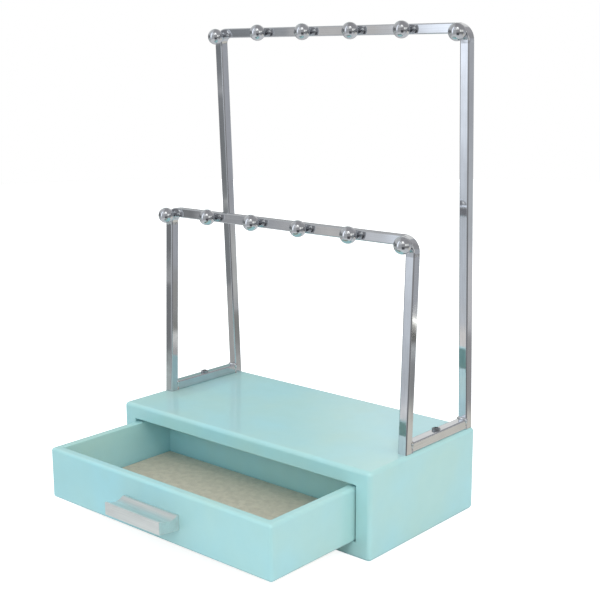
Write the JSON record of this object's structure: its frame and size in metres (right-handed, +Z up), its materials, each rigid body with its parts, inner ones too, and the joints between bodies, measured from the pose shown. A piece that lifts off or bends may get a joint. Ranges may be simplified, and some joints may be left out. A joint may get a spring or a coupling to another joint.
{
  "type": "jewelry stand with drawer",
  "caption": "Lacquered wooden jewelry stand: a lined drawer in the base and two bent chrome tube frames, low in front and tall behind, with ball hooks for necklaces.",
  "frame": {"origin": "centre of the cabinet's underside", "axes": "+X to the right along the drawer front, +Y to the back, +Z up"},
  "size_m": [0.32, 0.294, 0.4615],
  "materials": {
    "lacquer": "pale aqua gloss lacquer",
    "raw_wood": "raw birch",
    "chrome": "polished",
    "steel": "zinc plated",
    "dark_steel": "dark zinc",
    "aluminium": "brushed",
    "lining": "mottled short-pile velvet"
  },
  "bodies": {
    "stand": {"cabinet_top": "lacquer", "cabinet_bottom": "lacquer", "cabinet_left_side": "lacquer", "cabinet_right_side": "lacquer", "cabinet_back": "lacquer", "cabinet_dowels": "raw_wood", "rear_frame": "chrome", "front_frame": "chrome", "left_rail": "chrome", "right_rail": "chrome", "rail_welds": "chrome", "rail_screws": "dark_steel", "rear_studs": "steel", "front_studs": "steel", "rear_ball_1": "chrome", "rear_ball_2": "chrome", "rear_ball_3": "chrome", "rear_ball_4": "chrome", "rear_ball_5": "chrome", "rear_ball_6": "chrome", "front_ball_1": "chrome", "front_ball_2": "chrome", "front_ball_3": "chrome", "front_ball_4": "chrome", "front_ball_5": "chrome", "front_ball_6": "chrome"},
    "drawer": {"drawer_front": "lacquer", "drawer_back": "lacquer", "drawer_left_side": "lacquer", "drawer_right_side": "lacquer", "drawer_bottom": "raw_wood", "drawer_dowels": "raw_wood", "drawer_lining": "lining", "drawer_handle": "aluminium", "handle_screws": "steel"}
  },
  "joints": [
    {"name": "drawer_slide", "type": "slide", "parent": "stand", "child": "drawer", "axis": [0, -1, 0], "range_m": [-0.107, 0.027]}
  ]
}
